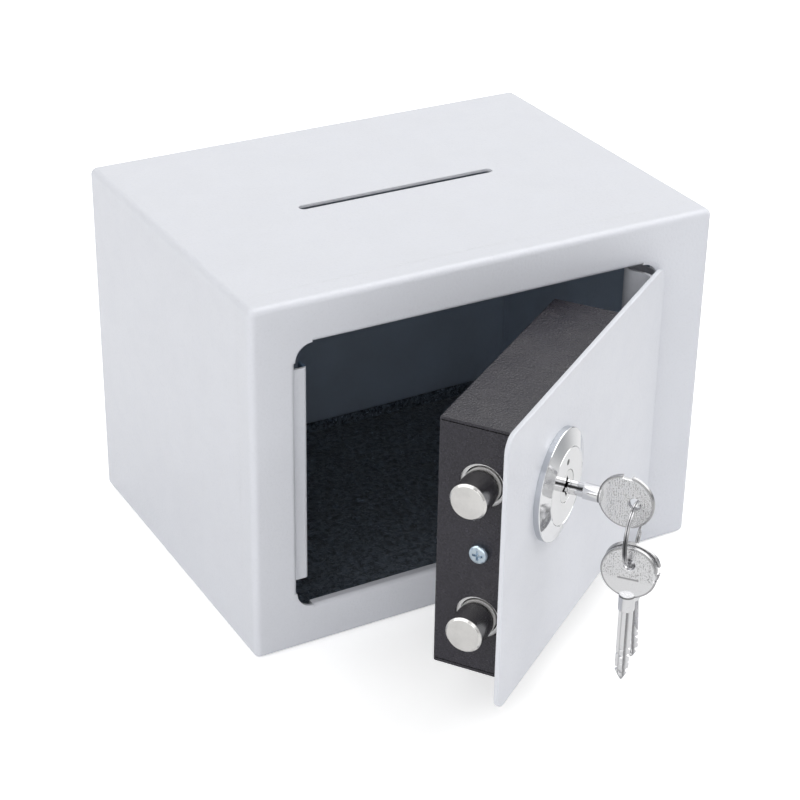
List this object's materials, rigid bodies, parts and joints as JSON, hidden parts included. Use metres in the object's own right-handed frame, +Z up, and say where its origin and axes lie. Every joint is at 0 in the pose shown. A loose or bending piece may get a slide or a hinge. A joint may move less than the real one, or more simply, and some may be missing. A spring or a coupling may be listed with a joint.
{
  "type": "deposit safe",
  "caption": "Small sheet steel safe with a deposit slot in its top, a hinged front door with round bolts behind a dark cover, and a cross-key lock with its keys on a ring.",
  "frame": {"origin": "middle of the body's underside", "axes": "+Z up, +Y from the front to the back, +X to the right seen from the front"},
  "size_m": [0.23, 0.2847, 0.17],
  "materials": {
    "shell_paint": "fine orange-peel powder coat",
    "cover_paint": "fine textured powder coat",
    "felt": "matted felt",
    "chrome": "polished chrome plate",
    "nickel": "satin nickel plate",
    "zinc": "zinc plated steel"
  },
  "bodies": {
    "root": {"body_wrap": "shell_paint", "front_frame": "shell_paint", "back_panel": "shell_paint", "strike_channel": "shell_paint", "floor_mat": "felt", "hinge_bracket_top": "shell_paint", "hinge_bracket_bottom": "shell_paint", "hinge_pin_top": "zinc", "hinge_pin_bottom": "zinc"},
    "door": {"door_plate": "shell_paint", "hinge_leaf": "shell_paint", "mechanism_cover": "cover_paint", "cover_screws": "zinc", "bolt_bracket": "shell_paint", "cover_bracket": "shell_paint", "guide_stud_upper": "zinc", "guide_stud_lower": "zinc", "guide_washers": "zinc", "guide_screws": "zinc", "escutcheon": "chrome", "lock_housing": "chrome", "lock_nut": "zinc"},
    "plug": {"lock_plug": "chrome", "lock_crank": "zinc", "crank_screws": "zinc"},
    "bolts": {"bolt_carrier": "zinc", "bolt_upper": "nickel", "bolt_lower": "nickel", "bolt_screws": "zinc"},
    "key": {"key_in_lock": "nickel"},
    "ring": {"key_ring": "nickel"},
    "spare_front": {"spare_key_front": "nickel"},
    "spare_rear": {"spare_key_rear": "nickel"}
  },
  "joints": [
    {"name": "door_swing", "type": "hinge", "parent": "root", "child": "door", "pos_m": [0.0936, -0.0795, 0.085], "axis": [0, 0, 1], "range_deg": [-35.3, 60]},
    {"name": "key_turn", "type": "hinge", "parent": "door", "child": "plug", "pos_m": [-0.01344, -0.16056, 0.1022], "axis": [-0.5779, 0.8161, 0], "range_deg": [0, 90]},
    {"name": "bolt_slide", "type": "slide", "parent": "door", "child": "bolts", "axis": [0.8161, 0.5779, 0], "range_m": [0, 0.00906]},
    {"name": "key_draw", "type": "slide", "parent": "plug", "child": "key", "axis": [0.5779, -0.8161, 0], "range_m": [0, 0.025]},
    {"name": "ring_swing", "type": "hinge", "parent": "key", "child": "ring", "pos_m": [0.00655, -0.1888, 0.1009], "axis": [-0.7672, -0.6414, 0], "range_deg": [-10, 60]},
    {"name": "spare_front_swing", "type": "hinge", "parent": "ring", "child": "spare_front", "pos_m": [0.00487, -0.19021, 0.07589], "axis": [-0.7672, -0.6414, 0], "range_deg": [-15, 60]},
    {"name": "spare_rear_swing", "type": "hinge", "parent": "ring", "child": "spare_rear", "pos_m": [0.00847, -0.18719, 0.07595], "axis": [-0.7672, -0.6414, 0], "range_deg": [-15, 60]}
  ],
  "couplings": [
    {"joint": "bolt_slide", "follows": "key_turn", "m_per_rad": 0.005762}
  ]
}
